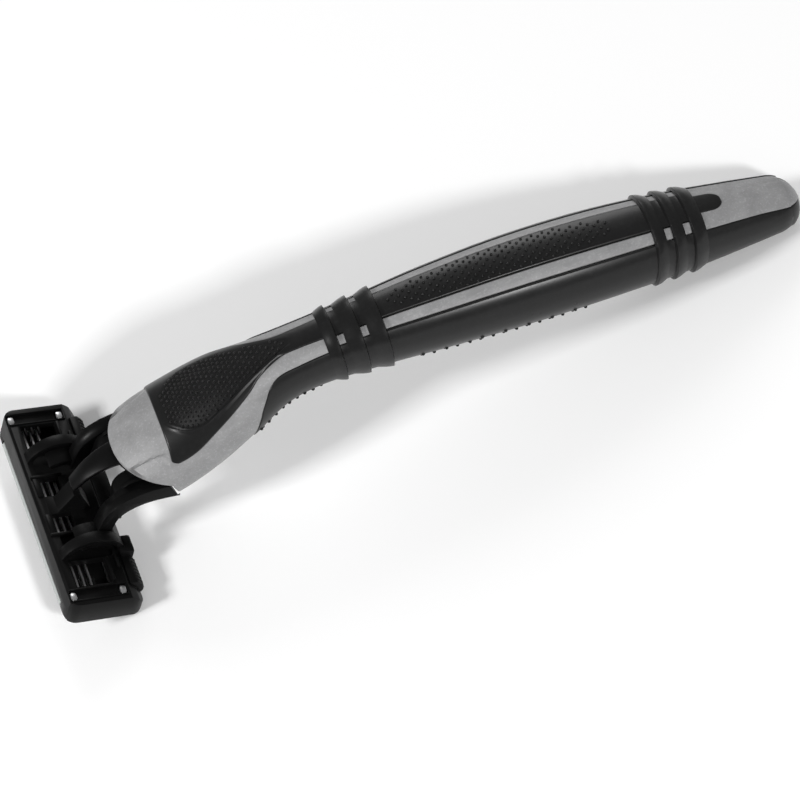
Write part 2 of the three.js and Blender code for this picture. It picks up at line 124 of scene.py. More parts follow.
def editMerged(piece, closeEnds=False, outwards=False):
    pick(piece)
    bpy.ops.object.mode_set(mode="EDIT")
    bpy.ops.mesh.select_all(action="SELECT")
    bpy.ops.mesh.remove_doubles(threshold=0.000002)
    if closeEnds:
        bpy.ops.mesh.select_mode(type="VERT")
        bpy.ops.mesh.select_all(action="DESELECT")
        bpy.ops.mesh.select_non_manifold()
        bpy.ops.mesh.fill_holes(sides=0)
        bpy.ops.mesh.select_all(action="SELECT")
    if outwards:
        bpy.ops.mesh.normals_make_consistent(inside=False)
    bpy.ops.object.mode_set(mode="OBJECT")


class Wire:                             # a socket that can be used in sums
    def __init__(self, finish, socket):
        self.finish = finish
        self.socket = socket

    def joined(self, operation, first, second):
        return self.finish.node("ShaderNodeMath", {"operation": operation}, {0: first, 1: second})

    def __add__(self, other):
        return self.joined("ADD", self, other)

    def __radd__(self, other):
        return self.joined("ADD", other, self)

    def __sub__(self, other):
        return self.joined("SUBTRACT", self, other)

    def __rsub__(self, other):
        return self.joined("SUBTRACT", other, self)

    def __mul__(self, other):
        return self.joined("MULTIPLY", self, other)

    def __rmul__(self, other):
        return self.joined("MULTIPLY", other, self)


class Finish:
    def __init__(self, name):
        self.material = bpy.data.materials.new(name)
        self.material.use_nodes = True
        self.tree = self.material.node_tree
        self.shader = self.tree.nodes["Principled BSDF"]
        self.place = self.node("ShaderNodeTexCoord", {}, {}, "Object")
        finishes[name] = self.material

    def node(self, kind, settings, sockets, output=0):
        made = self.tree.nodes.new(kind)
        for key, value in settings.items():
            if key == "stops":
                for element, (position, shade) in zip(made.color_ramp.elements, value):
                    element.position = position
                    element.color = (shade, shade, shade, 1)
            else:
                setattr(made, key, value)
        for key, value in sockets.items():
            self.feed(made.inputs[key], value)
        return Wire(self, made.outputs[output])

    def feed(self, socket, value):
        if isinstance(value, Wire):
            self.tree.links.new(value.socket, socket)
        else:
            socket.default_value = value

    def noise(self, size, detail, roughness, stretch=(1, 1, 1)):
        place = self.node("ShaderNodeMapping", {}, {"Vector": self.place, "Scale": stretch})
        sockets = {"Vector": place, "Scale": 1 / (size * mm), "Detail": detail, "Roughness": roughness}
        return self.node("ShaderNodeTexNoise", {}, sockets, "Fac")

    def ramp(self, value, low, high):
        return self.node("ShaderNodeValToRGB", {"stops": ((low, 0.0), (high, 1.0))}, {"Fac": value})

    def shades(self, factor, dark, light):
        sockets = {0: factor, 6: (*dark, 1), 7: (*light, 1)}
        return self.node("ShaderNodeMix", {"data_type": "RGBA"}, sockets, 2)

    def bump(self, height, depth, strength, under=None):
        sockets = {"Height": height, "Distance": depth * mm, "Strength": strength}
        if under:
            sockets["Normal"] = under
        return self.node("ShaderNodeBump", {}, sockets)

    def set(self, **sockets):
        for key, value in sockets.items():
            self.feed(self.shader.inputs[key.replace("_", " ")], value)


# the darkest and lightest tone of each finish, and each metal's name, tone and roughness
tones = {"greyPlastic": (0.215, 0.32), "gripRubber": (0.0065, 0.014), "blackPlastic": (0.002, 0.005),
         "finRubber": (0.010, 0.020), "soap": ((0.34, 0.36, 0.35), (0.47, 0.49, 0.48)),
         "metals": (("blade_steel", 0.62, 0.38), ("clip_aluminium", 0.62, 0.28)), "metalDark": 0.88}


def grey(level):
    return (level, level, level * 1.01)


def greys(name):
    return [grey(level) for level in tones[name]]


def makeFinishes():
    plastic = Finish("grey_plastic")
    cloud = plastic.noise(3.2, 4, 0.6)
    flow = plastic.noise(1.6, 3, 0.55, (0.35, 1, 1))
    grain = plastic.noise(0.16, 2, 0.6)
    fleck = plastic.ramp(plastic.noise(0.42, 3, 0.7), 0.52, 0.72)
    mottle = plastic.ramp(cloud * 0.45 + flow * 0.3 + fleck * 0.25, 0.30, 0.66)
    plastic.set(Base_Color=plastic.shades(mottle, *greys("greyPlastic")))
    plastic.set(Roughness=0.34 + 0.14 * cloud + 0.10 * grain - 0.08 * fleck)
    relief = plastic.bump(flow, 0.10, 0.6, plastic.bump(fleck, 0.02, 0.7, plastic.bump(grain, 0.02, 0.7)))
    plastic.set(Normal=relief, IOR=1.46)

    rubber = Finish("grip_rubber")
    cloud = rubber.noise(5.0, 3, 0.55)
    grain = rubber.noise(0.11, 2, 0.7)
    scuff = rubber.ramp(rubber.noise(0.7, 5, 0.7), 0.5, 0.78)
    rubber.set(Base_Color=rubber.shades(scuff * 0.5 + cloud * 0.5, *greys("gripRubber")))
    rubber.set(Roughness=0.25 + 0.08 * cloud + 0.06 * scuff)
    rubber.set(Normal=rubber.bump(grain, 0.005, 0.6), Specular_IOR_Level=0.27)

    black = Finish("black_plastic")
    cloud = black.noise(4.0, 3, 0.5)
    grain = black.noise(0.14, 2, 0.6)
    black.set(Base_Color=black.shades(cloud, *greys("blackPlastic")))
    black.set(Roughness=0.27 + 0.12 * cloud + 0.06 * grain)
    black.set(Normal=black.bump(grain, 0.004, 0.5), Specular_IOR_Level=0.1)

    fins = Finish("fin_rubber")
    grain = fins.noise(0.12, 2, 0.7)
    fins.set(Base_Color=fins.shades(grain, *greys("finRubber")))
    fins.set(Roughness=0.55 + 0.12 * grain, Normal=fins.bump(grain, 0.012, 0.5))

    soap = Finish("soap_strip")
    cloud = soap.noise(0.9, 4, 0.6)
    soap.set(Base_Color=soap.shades(cloud, *tones["soap"]))
    soap.set(Roughness=0.42 + 0.2 * cloud, Normal=soap.bump(cloud, 0.03, 0.5))

    for name, level, rough in tones["metals"]:
        metal = Finish(name)
        brushed = metal.noise(0.10, 3, 0.6, (1, 0.06, 1))
        cloud = metal.noise(1.4, 3, 0.6)
        dark = grey(level * tones["metalDark"])
        metal.set(Base_Color=metal.shades(cloud, dark, grey(level)), Metallic=1.0)
        metal.set(Roughness=rough + 0.16 * brushed, Normal=metal.bump(brushed, 0.006, 0.5))


makeFinishes()
print("finishes made")

# the handle in millimetres; tables are rows of (x, value)
handle = {
    "axisHeight": ((-55, 10.9), (-48.8, 12.9), (-40.8, 15.2), (-32.6, 17.8), (-24.9, 19.5), (-17.6, 19.7),
                   (-6.9, 18.6), (3.8, 17.2), (17.9, 14.9), (32, 12.1), (46.1, 8.7), (56.8, 6.1),
                   (66.3, 3.7)),
    "halfWidth": ((-55, 7.9), (-48.8, 9.3), (-40.8, 9.2), (-32.6, 8), (-24.9, 6), (-17.6, 5.5), (-6.9, 6),
                  (3.8, 6.9), (17.9, 7.6), (32, 7.6), (46.1, 6.8), (56.8, 5.8), (66.3, 4.7)),
    "halfHeight": ((-55, 6.1), (-48.8, 6.8), (-40.8, 6.8), (-32.6, 6.4), (-24.9, 5.6), (-17.6, 5.4),
                   (-6.9, 5.9), (3.8, 6.4), (17.9, 6.9), (32, 6.8), (46.1, 6.3), (56.8, 5.2), (66.3, 4.1)),
    "sectionPower": 2.3, "topZ": 25.55, "slopeReach": 0.05,
    "rimX": -47.6, "rimReachTop": 5, "rimReachBottom": 1.5, "collarBlendX": -43,
    "tailRoundX": 64, "tailEndX": 68.9, "tailTipPart": 0.96, "tailRoundPower": 2.4, "tailDome": 0.98,
}


def skin(x, angle, depth):              # angle 0 is the near side, 90 the top; depth sinks below the skin
    reach = handle["slopeReach"]
    slope = (along(handle["axisHeight"], x + reach) - along(handle["axisHeight"], x - reach)) / (2 * reach)
    tilt = math.atan(slope)
    part = (x - handle["tailRoundX"]) / (handle["tailEndX"] - handle["tailRoundX"])
    shrink = math.sqrt(1 - clamp(part, 0, handle["tailTipPart"]) ** handle["tailRoundPower"])
    dome = clamp((part - handle["tailTipPart"]) / (1 - handle["tailTipPart"]), 0, 1)
    shrink *= math.sqrt(1 - handle["tailDome"] * dome * dome)
    width = (along(handle["halfWidth"], x) - depth) * shrink
    height = (along(handle["halfHeight"], x) - depth) * shrink
    turn = math.radians(angle)
    power = 2 / handle["sectionPower"]
    across = math.copysign(abs(math.cos(turn)) ** power, math.cos(turn)) * width
    up = math.copysign(abs(math.sin(turn)) ** power, math.sin(turn)) * height
    middle = along(handle["axisHeight"], x)
    z = clamp(middle + up * math.cos(tilt), 0, handle["topZ"])
    return (x + shiftX - up * math.sin(tilt), -across, z)


def rimPlace(angle):
    rise = math.sin(math.radians(angle))
    reach = handle["rimReachTop"] if rise > 0 else handle["rimReachBottom"]
    return handle["rimX"] - reach * abs(rise)


def gathered(t, pull=0.86):             # draws grid lines together at both ends
    return t - pull * math.sin(2 * math.pi * t) / (2 * math.pi)


def rounding(distance, radius):         # how far a rounded edge has dropped at a distance inside it
    if distance >= radius:
        return 0
    return radius * (1 - math.sqrt(max(0, 1 - (1 - distance / radius) ** 2)))


core = {"around": 160, "wall": 1.35, "lip": 0.35, "inside": 2.6, "bodyRows": 230,
        "tailRows": 26, "lipSteps": 6, "collarRows": 24,
        "crease": 0.75, "creaseLine": ((-53, 54.5), (-50.5, 54.5), (-48.3, 53), (-46.5, 51), (-44, 45)),
        "creaseAcross": ((-1.2, 1.6), (4, 26)), "creaseAlong": ((-53.5, -51.5), (-46.0, -43.8)),
        "tailCrease": 0.1, "tailLine": ((52, 90), (60.4, 80), (67.6, 75)),
        "tailAcross": ((-1.0, 1.0), (1.5, 14)), "tailAlong": (55, 60),
        "underScoop": 0.75, "scoopRise": (-1.0, -0.3), "scoopAlong": ((-43.2, -42.6), (-20, -19)),
        "underStripes": 0.5, "stripesAlong": ((-14.6, -13.8), (49.2, 50.0))}
recess = {"edge": ((-43, 80), (-41.6, 70), (-40.4, 62), (-39.4, 56), (-37.6, 50), (-35.8, 48), (-32.2, 52),
                   (-28.6, 59), (-25.5, 67), (-22.5, 76), (-20, 84)),
          "radius": 7.2, "depth": 0.42, "step": 0.3, "farStep": 2.6, "farSide": (86, 98),
          "lip": 0.13, "lipAcross": ((-0.75, -0.15), (-0.15, 0.3)), "along": ((-43.0, -40.2), (-22.5, -19.5))}


def creaseDepth(x, angle):              # the soft fold across the collar, and the one along the tail
    nearAngle = min(angle, 180 - angle)
    below = along(core["creaseLine"], x) - nearAngle
    collar = band(*core["creaseAcross"], below) * band(*core["creaseAlong"], x)
    above = along(core["tailLine"], x) - nearAngle
    tail = band(*core["tailAcross"], above) * smoothStep(*core["tailAlong"], x)
    return core["crease"] * collar + core["tailCrease"] * tail


def insideScoop(x, angle):              # how far a point lies inside the edge of the thumb's scoop
    mirrored = min(angle, 180 - angle)
    return (mirrored - along(recess["edge"], x)) * math.radians(1) * recess["radius"]


def coreSink(x, angle):                 # the core steps back under the scoop and under the stripes
    scoop = smoothStep(*core["scoopRise"], insideScoop(x, angle)) * band(*core["scoopAlong"], x)
    return core["underScoop"] * scoop + core["underStripes"] * band(*core["stripesAlong"], x)


def makeCore():
    rows = []                           # (kind, value, depth) from inside the mouth to the tail's tip
    lip = core["lip"]
    rows.append(("rim", core["inside"], core["wall"]))
    rows.append(("rim", lip, core["wall"]))
    for step in range(core["lipSteps"] + 1):
        turn = math.pi * step / core["lipSteps"]
        rows.append(("rim", lip - lip * math.sin(turn), mixed(core["wall"], 0, (1 - math.cos(turn)) / 2)))
    for step in range(1, core["collarRows"]):
        rows.append(("collar", step / core["collarRows"], 0))
    for step in range(core["bodyRows"] + 1):
        x = mixed(handle["collarBlendX"], handle["tailRoundX"], step / core["bodyRows"])
        rows.append(("body", x, 0))
    for step in range(1, core["tailRows"] + 1):
        part = 1 - (1 - step / core["tailRows"]) ** 2
        rows.append(("body", mixed(handle["tailRoundX"], handle["tailEndX"], part), 0))
    last = len(rows) - 1

    def place(u, v):
        kind, value, depth = rows[round(u * last)]
        angle = 360 * v
        if kind == "rim":
            x = rimPlace(angle) + value
        elif kind == "collar":
            x = mixed(rimPlace(angle) + lip, handle["collarBlendX"], value)
        else:
            x = value
        if kind != "rim":
            nearAngle = angle if angle <= 270 else angle - 360
            depth += creaseDepth(x, nearAngle) + coreSink(x, nearAngle)
        return skin(x, angle, depth)

    piece = placedGrid(last, core["around"], place)
    editMerged(piece, closeEnds=True)
    shaded(piece, 40)
    finished(piece, "handle_grey_core", "grey_plastic", "handle", ["handle_core"])


makeCore()
print("grey core made")

pads = {
    "proud": 0.17, "edge": 0.42, "thickness": 0.8, "tuck": 0.9, "radiusPart": 1.05,
    "thumbGrid": (260, 130), "fingerGrid": (110, 150), "topGrid": (150, 50), "lowerGrid": (150, 170),
    "tailGrid": (90, 150), "tongueGrid": (60, 40), "stripeGrid": (220, 24),
    "stripeTop": 68, "stripeLow": 47.5,
    "thumbEdge": ((-46, 32), (-43.9, 26), (-40.3, 24), (-36.4, 28), (-32.4, 34), (-28.2, 44), (-26.3, 54),
                  (-22.5, 69), (-19, 70), (-14, 68)),
    "thumbFront": -43.4, "thumbSweep": 1.8, "thumbSpread": 22, "neckEnd": -15.3,
    "sweepMost": 2.1, "tipAngle": 72, "tipSpread": 4, "tipRound": 2.4,
    "fingerEdge": ((-34, -52), (-31, -16), (-27.2, 14), (-25.3, 32), (-23.4, 41), (-20, 42), (-14, 44)),
    "fingerFront": -33.6,
    "tailEdge": ((49, 48), (60, 47), (64, 44), (68, 40)), "tailStart": 50.7, "tailEnd": 68.6,
    "tongueTip": 54.8, "tongueHalfAngle": 15, "tongueRound": 2.2, "tongueEndPart": 0.02,
    "gripStart": -4.6, "gripEnd": 40.8,
    "stripeStart": -14.0, "stripeEnd": 49.6, "stripeGap": 1.1, "stripeEdge": 0.16, "stripeProud": 0.02,
}


def thumbSink(x, angle):                # the scooped field that holds the thumb's dots
    inside = insideScoop(x, angle)
    farSide = smoothStep(*recess["farSide"], angle)
    lip = recess["lip"] * band(*recess["lipAcross"], inside) * (1 - farSide)
    step = mixed(recess["step"], recess["farStep"], farSide)
    return band(*recess["along"], x) * (recess["depth"] * smoothStep(0, step, inside) - lip)


# front, low and high give a pad's edges as functions; a tucked end runs on under its neighbour
def makePad(name, node, front, end, low, high, grid, tucked, sink=None,
            proud=pads["proud"], edge=pads["edge"], finish="grip_rubber"):
    def place(u, v):
        across = gathered(v)
        lengthwise = gathered(u)
        startTuck = pads["tuck"] if tucked[0] else 0
        endTuck = pads["tuck"] if tucked[1] else 0
        middle = mixed(low(end), high(end), across)
        startX = front(middle) - startTuck
        x = mixed(startX, end + endTuck, lengthwise)
        angle = mixed(low(x), high(x), across)
        radius = along(handle["halfHeight"], x) * pads["radiusPart"]
        gaps = [(across * (high(x) - low(x))) * math.radians(1) * radius,
                ((1 - across) * (high(x) - low(x))) * math.radians(1) * radius]
        if not tucked[0]:
            gaps.append(x - startX)
        if not tucked[1]:
            gaps.append(end - x)
        depth = rounding(max(0, min(gaps)), edge) - proud
        if sink:
            depth += sink(x, angle)
        return skin(x, angle, depth)

    piece = placedGrid(*grid, place)
    modify(piece, "SOLIDIFY", {"thickness": pads["thickness"] * mm, "offset": -1})
    shaded(piece, 50)
    finished(piece, name, finish, "handle", [node] if node else [])


def makePads():
    top = pads["stripeTop"]
    lowest = pads["stripeLow"]

    def thumbFront(angle):              # a swept edge whose two lower tips are rounded off
        sweep = pads["thumbSweep"] * (abs(angle - 90) / pads["thumbSpread"]) ** 2
        tip = clamp((pads["tipAngle"] - min(angle, 180 - angle)) / pads["tipSpread"], 0, 1)
        return pads["thumbFront"] - min(sweep, pads["sweepMost"]) + pads["tipRound"] * tip ** 3

    makePad("thumb_pad_rubber", "thumb_pad", thumbFront, pads["neckEnd"],
            lambda x: along(pads["thumbEdge"], x), lambda x: 180 - along(pads["thumbEdge"], x),
            pads["thumbGrid"], (False, True), thumbSink)
    makePad("finger_pad_rubber", "finger_pad", lambda angle: pads["fingerFront"], pads["neckEnd"],
            lambda x: 180 - along(pads["fingerEdge"], x), lambda x: 360 + along(pads["fingerEdge"], x),
            pads["fingerGrid"], (False, True))
    makePad("top_grip_rubber", "grip_pad_top", lambda angle: pads["gripStart"], pads["gripEnd"],
            lambda x: top, lambda x: 180 - top, pads["topGrid"], (True, True))
    makePad("lower_grip_rubber", "grip_pad_lower", lambda angle: pads["gripStart"], pads["gripEnd"],
            lambda x: 180 - lowest, lambda x: 360 + lowest, pads["lowerGrid"], (True, True))
    makePad("tail_rubber", "tail_pad", lambda angle: pads["tailStart"], pads["tailEnd"],
            lambda x: 180 - along(pads["tailEdge"], x), lambda x: 360 + along(pads["tailEdge"], x),
            pads["tailGrid"], (True, False))

    def spread(x):
        part = clamp((pads["tongueTip"] - x) / pads["tongueRound"], pads["tongueEndPart"], 1)
        return pads["tongueHalfAngle"] * math.sqrt(1 - (1 - part) ** 2)

    makePad("tail_tongue_rubber", "tail_tongue", lambda angle: pads["tailStart"], pads["tongueTip"],
            lambda x: 90 - spread(x), lambda x: 90 + spread(x),
            pads["tongueGrid"], (True, False))


def makeStripes():                      # the grey stripes between the pads, each with a fine gap round it
    low = pads["stripeLow"] + pads["stripeGap"]
    top = pads["stripeTop"] - pads["stripeGap"]
    for name, start, stop in (("near_stripe", low, top), ("far_stripe", 180 - top, 180 - low)):
        makePad(name, None, lambda angle: pads["stripeStart"], pads["stripeEnd"],
                lambda x: start, lambda x: stop, pads["stripeGrid"], (True, True), None,
                pads["stripeProud"], pads["stripeEdge"], "grey_plastic")


makePads()
makeStripes()
print("rubber pads made")

# each ring is its foot, crest and end along x
rings = {
    "around": 200, "rows": 8, "steepPower": 0.8, "softPower": 1.2, "windowInset": 0.02,
    "height": 0.72, "base": 0.19, "thickness": 0.9, "windowLow": 47.5, "windowTop": 68,
    "front": ((-15, -13.1, -12.9), (-11.8, -9.1, -8.9), (-7.8, -5.1, -4.9)),
    "rear": ((41.1, 41.4, 43.3), (44.4, 44.7, 46.7), (47.8, 48.1, 50.4)),
}


def ringRows(group, steepFirst):
    rows = []
    for foot, crest, end in group:
        rise = rings["height"] - rings["base"]
        for step in range(rings["rows"] + 1):
            part = step / rings["rows"]
            lift = part ** rings["steepPower"]
            if not steepFirst:
                lift = math.sin(part * math.pi / 2) ** rings["softPower"]
            rows.append((mixed(foot, crest, part), rings["base"] + rise * lift))
        for step in range(1, rings["rows"] + 1):
            part = step / rings["rows"]
            drop = math.cos(part * math.pi / 2) if steepFirst else 1 - part
            rows.append((mixed(crest, end, part), rings["base"] + rise * drop))
    return rows


def makeSleeve(name, node, group, steepFirst):
    rows = ringRows(group, steepFirst)
    last = len(rows) - 1

    def place(u, v):
        x, height = rows[round(u * last)]
        return skin(x, 360 * v, -height)

    piece = placedGrid(last, rings["around"], place)
    pick(piece)
    inset = rings["windowInset"]
    gaps = [(group[i][2] + inset, group[i + 1][0] - inset) for i in range(2)]
    for face in piece.data.polygons:    # the windows lie between rings, over the grey stripes
        centre = face.center / mm
        x = centre.x - shiftX
        slope = math.atan(along(handle["axisHeight"], x + 0.5) - along(handle["axisHeight"], x - 0.5))
        up = (centre.z - along(handle["axisHeight"], x)) / math.cos(slope)
        x += up * math.sin(slope)
        up = (centre.z - along(handle["axisHeight"], x)) / math.cos(slope)
        power = handle["sectionPower"] / 2
        rise = (abs(up) / along(handle["halfHeight"], x)) ** power
        reach = (abs(centre.y) / along(handle["halfWidth"], x)) ** power
        angle = math.degrees(math.atan2(rise, reach)) * (1 if up > 0 else -1)
        inGap = any(start < x < stop for start, stop in gaps)
        face.select = inGap and rings["windowLow"] < angle < rings["windowTop"]
    for edge in piece.data.edges:
        edge.select = False
    for vertex in piece.data.vertices:
        vertex.select = False
    bpy.ops.object.mode_set(mode="EDIT")
    bpy.ops.mesh.select_mode(type="FACE")
    bpy.ops.mesh.delete(type="FACE")
    bpy.ops.object.mode_set(mode="OBJECT")
    editMerged(piece)
    modify(piece, "SOLIDIFY", {"thickness": rings["thickness"] * mm, "offset": -1})
    shaded(piece, 35)
    finished(piece, name, "grip_rubber", "handle", [node])


makeSleeve("front_rings", "front_ring_sleeve", rings["front"], False)
makeSleeve("rear_rings", "rear_ring_sleeve", rings["rear"], True)
print("ring sleeves made")

dots = {"radius": 0.26, "height": 0.3, "bumpRadius": 0.33, "bumpHeight": 0.34,
        "rowPart": 0.82, "mostColumns": 16, "pitch": 0.92, "thumbX": (-42.2, -20.5), "thumbMargin": 4,
        "gripPitch": 1.12, "gripX": (-3, 35), "gripMiddle": 16, "gripHalfLength": 19.2,
        "gripHalfAngle": 19.5, "gripPower": 0.7,
        "under": ((0, 30, 2.5, 70), (-31, -17, 2.0, 62))}         # x from and to, pitch, half angle


def makeDots(name, places, radius, height):
    clearSelection()
    bpy.ops.mesh.primitive_uv_sphere_add(segments=8, ring_count=6, radius=1)
    seed = bpy.context.object
    copies = []
    for x, angle, depth in places:
        foot = Vector(skin(x, angle, depth)) * mm
        head = Vector(skin(x, angle, depth - 1)) * mm
        turned = (head - foot).to_track_quat("Z", "Y").to_matrix().to_4x4()
        scale = Matrix.Diagonal((radius * mm, radius * mm, height * mm, 1))
        copy = seed.copy()
        copy.data = seed.data.copy()
        copy.data.transform(Matrix.Translation(foot) @ turned @ scale)
        bpy.context.collection.objects.link(copy)
        copies.append(copy)
    bpy.data.objects.remove(seed)
    clearSelection()
    for copy in copies:
        copy.select_set(True)
    bpy.context.view_layer.objects.active = copies[0]
    bpy.ops.object.join()
    piece = bpy.context.object
    shaded(piece, 60)
    finished(piece, name, "grip_rubber", "handle")


def staggered(startX, endX, pitch, inside, depth, middle=90):
    places = []
    rowGap = pitch * dots["rowPart"]
    count = int((endX - startX) / rowGap)
    for row in range(count + 1):
        x = startX + row * rowGap
        step = math.degrees(pitch / along(handle["halfWidth"], x))
        shift = 0.5 * (row % 2)
        for column in range(-dots["mostColumns"], dots["mostColumns"] + 1):
            angle = middle + (column + shift) * step
            if inside(x, angle):
                places.append((x, angle, depth(x, angle) if callable(depth) else depth))
    return places


def makeAllDots():
    proud = -pads["proud"]

    def inThumb(x, angle):
        margin = min(angle, 180 - angle) - along(recess["edge"], x)
        return margin > dots["thumbMargin"] and dots["thumbX"][0] < x < dots["thumbX"][1]

    thumb = staggered(*dots["thumbX"], dots["pitch"], inThumb, lambda x, angle: proud + thumbSink(x, angle))
    makeDots("thumb_dots", thumb, dots["radius"], dots["height"])

    def inGrip(x, angle):
        part = (x - dots["gripMiddle"]) / dots["gripHalfLength"]
        return abs(angle - 90) < dots["gripHalfAngle"] * math.sqrt(max(0, 1 - part ** 2)) ** dots["gripPower"]

    grip = staggered(*dots["gripX"], dots["gripPitch"], inGrip, proud)
    makeDots("grip_dots", grip, dots["radius"], dots["height"])
    under = []
    for startX, endX, pitch, half in dots["under"]:
        under += staggered(startX, endX, pitch, lambda x, angle: abs(angle - 270) < half, proud, 270)
    makeDots("underside_bumps", under, dots["bumpRadius"], dots["bumpHeight"])


makeAllDots()
print("dots made")

# x, y and z on the head are along its width, its length and its thickness
head = {"place": (-63.803816, 0, 7.8), "tilt": 28, "smoothAngle": 32, "flatAngle": 1.0}
headPlace = Matrix.Translation([value * mm for value in head["place"]])
headPlace = headPlace @ Matrix.Rotation(math.radians(head["tilt"]), 4, "Y")


def softened(name, node, finish, body, width, segments=2):      # a plain piece with its edges rounded
    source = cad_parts[node]
    piece = bpy.data.objects.new(name, source.data.copy())
    bpy.context.collection.objects.link(piece)
    pick(piece)
    bpy.ops.object.mode_set(mode="EDIT")
    bpy.ops.mesh.select_all(action="SELECT")
    bpy.ops.mesh.remove_doubles(threshold=0.000002)
    bpy.ops.mesh.dissolve_limited(angle_limit=math.radians(head["flatAngle"]))
    bpy.ops.object.mode_set(mode="OBJECT")
    settings = {"width": width * mm, "segments": segments, "limit_method": "ANGLE",
                "angle_limit": math.radians(head["smoothAngle"]), "use_clamp_overlap": True}
    modify(piece, "BEVEL", settings)
    shaded(piece, head["smoothAngle"])
    return finished(piece, name, finish, body, [node])


fork = {"hubSide": (5.9, 6.07), "hubClear": 6.1,
        "webLine": ((13.2, 11.4), (9.0, 10.9), (6.3, 9.1), (5.9, 6.2), (5.4, 3.0)), "webOuterY": 7.2,
        "webInnerY": (2.6, 2.6, 3.0, 4.0, 4.8), "webThickness": 1.0, "webBevel": 0.15, "webGrid": (24, 10),
        "crossPlate": ((4.25, 3.9), (7.4, 3.4), (7.4, 2.5), (4.25, 2.9)), "crossHalf": 6.6, "crossBevel": 0.2,
        "ribY": (5.4, 6.0), "ribSteps": 12, "ribForward": 0.2, "ribRise": 1.3, "ribBevel": 0.12}


def makeFork():
    piece = softened("fork", "yoke", "black_plastic", "handle", 0.18)
    nearest, furthest = fork["hubSide"]
    for vertex in piece.data.vertices:  # a hair of clearance beside the hub
        if nearest * mm < abs(vertex.co.y) < furthest * mm:
            vertex.co.y = math.copysign(fork["hubClear"] * mm, vertex.co.y)


makeFork()
softened("cartridge_body", "cartridge_frame", "black_plastic", "cartridge", 0.22)
softened("guard_fins", "guard_strip", "fin_rubber", "cartridge", 0.05)
softened("glide_strip", "lubricating_strip", "soap_strip", "cartridge", 0.1)
softened("near_clip", "clip_near", "clip_aluminium", "cartridge", 0.08)
softened("far_clip", "clip_far", "clip_aluminium", "cartridge", 0.08)
for number, word in ((1, "one"), (2, "two"), (3, "three")):
    softened("blade_carrier_" + word, f"blade_support_{number}", "blade_steel", "blade_" + word, 0.03, 1)
    softened("blade_edge_" + word, f"blade_{number}", "blade_steel", "blade_" + word, 0.02, 1)


def drawnOut(outline, y0, y1, bevel):   # an outline in the head's x and z, drawn out along its y
    clearSelection()
    bpy.ops.mesh.primitive_circle_add(vertices=len(outline), radius=1, fill_type="NGON")
    piece = bpy.context.object
    for vertex, (x, z) in zip(piece.data.vertices, outline):
        vertex.co = (x * mm, y0 * mm, z * mm)
    bpy.ops.object.mode_set(mode="EDIT")
    bpy.ops.mesh.select_all(action="SELECT")
    bpy.ops.mesh.extrude_region_move(TRANSFORM_OT_translate={"value": (0, (y1 - y0) * mm, 0)})
    bpy.ops.mesh.select_all(action="SELECT")
    bpy.ops.mesh.normals_make_consistent(inside=False)
    bpy.ops.object.mode_set(mode="OBJECT")
    modify(piece, "BEVEL", {"width": bevel * mm, "segments": 2, "angle_limit": math.radians(30)})
    return piece


def block(x0, x1, y0, y1, z0, z1, bevel):
    return drawnOut(((x0, z0), (x1, z0), (x1, z1), (x0, z1)), y0, y1, bevel)


def together(pieces, name, finish, body):    # joins pieces and sets them on the tilted head
    clearSelection()
    for piece in pieces:
        piece.select_set(True)
    bpy.context.view_layer.objects.active = pieces[0]
    if len(pieces) > 1:
        bpy.ops.object.join()
    piece = bpy.context.object
    piece.data.transform(headPlace)
    shaded(piece, head["smoothAngle"])
    return finished(piece, name, finish, body)


def lineAt(rows, part):                 # a point on a smooth line through evenly spaced rows
    places = [(index / (len(rows) - 1), value) for index, value in enumerate(rows)]
    return along(places, part)


def makeWebs():
    pieces = [drawnOut(fork["crossPlate"], -fork["crossHalf"], fork["crossHalf"], fork["crossBevel"])]
    steps = fork["ribSteps"]
    xs = [x for x, z in fork["webLine"]]
    zs = [z for x, z in fork["webLine"]]
    for side in (-1, 1):
        def place(u, v):
            y = mixed(lineAt(fork["webInnerY"], u), fork["webOuterY"], v)
            return (lineAt(xs, u), side * y, lineAt(zs, u))

        sheet = placedGrid(*fork["webGrid"], place)
        modify(sheet, "SOLIDIFY", {"thickness": fork["webThickness"] * mm, "offset": 0})
        editMerged(sheet, outwards=True)
        bevel = {"width": fork["webBevel"] * mm, "segments": 2, "angle_limit": math.radians(50)}
        modify(sheet, "BEVEL", bevel)
        pieces.append(sheet)
        under = [(lineAt(xs, i / steps), lineAt(zs, i / steps)) for i in range(steps + 1)]
        over = [(x + fork["ribForward"], z + fork["ribRise"]) for x, z in under]
        low, high = sorted(side * value for value in fork["ribY"])
        pieces.append(drawnOut(over + under[::-1], low, high, fork["ribBevel"]))
    together(pieces, "fork_webs", "black_plastic", "handle")


makeWebs()

tongue = {"line": ((9.5, 13.6), (5.2, 11.4), (2.2, 8.4), (0.3, 5)), "halfWidths": (2.7, 2.2, 1.7, 1.3),
          "thickness": 1.1, "bevel": 0.2, "grid": (40, 14), "crown": 0.35, "crownBack": 0.6, "crownUp": 0.8}


